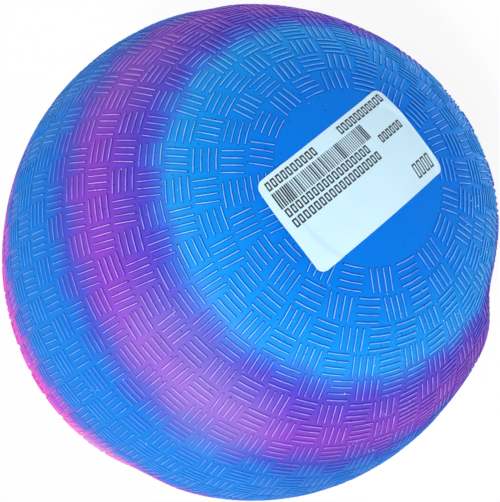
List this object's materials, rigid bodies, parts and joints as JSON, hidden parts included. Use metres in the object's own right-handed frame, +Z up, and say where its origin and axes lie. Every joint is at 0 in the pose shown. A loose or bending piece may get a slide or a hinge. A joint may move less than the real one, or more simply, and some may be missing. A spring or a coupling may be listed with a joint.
{
  "type": "rubber play ball",
  "caption": "Small inflatable rubber play ball with raised basket weave ribs, smooth polar panels, halved cover over a bladder, needle valve with pull-out core, and a paper price label.",
  "frame": {"origin": "centre of the ball", "axes": "+Z up; the polar axis lies along Y, with the valve facing +Y and the labelled panel facing -Y"},
  "size_m": [0.127, 0.1267, 0.127],
  "materials": {
    "cover_blue": "satin moulded rubber, blue fading to violet in one band",
    "cover_pink": "satin moulded rubber, pink fading to violet in one band",
    "bladder_rubber": "dull black rubber",
    "valve_rubber": "satin rubber in the cover's colour",
    "core_rubber": "dull soft black rubber",
    "label_paper": "coated white paper with plain printed bars"
  },
  "bodies": {
    "ball": {"cover_front_half": "cover_blue", "cover_back_half": "cover_pink", "bladder": "bladder_rubber", "valve_patch": "bladder_rubber", "valve_housing": "valve_rubber", "price_label": "label_paper"},
    "core": {"valve_core": "core_rubber"}
  },
  "joints": [
    {"name": "valve_core_pull", "type": "slide", "parent": "ball", "child": "core", "axis": [0, 1, 0], "range_m": [0, 0.02]}
  ]
}
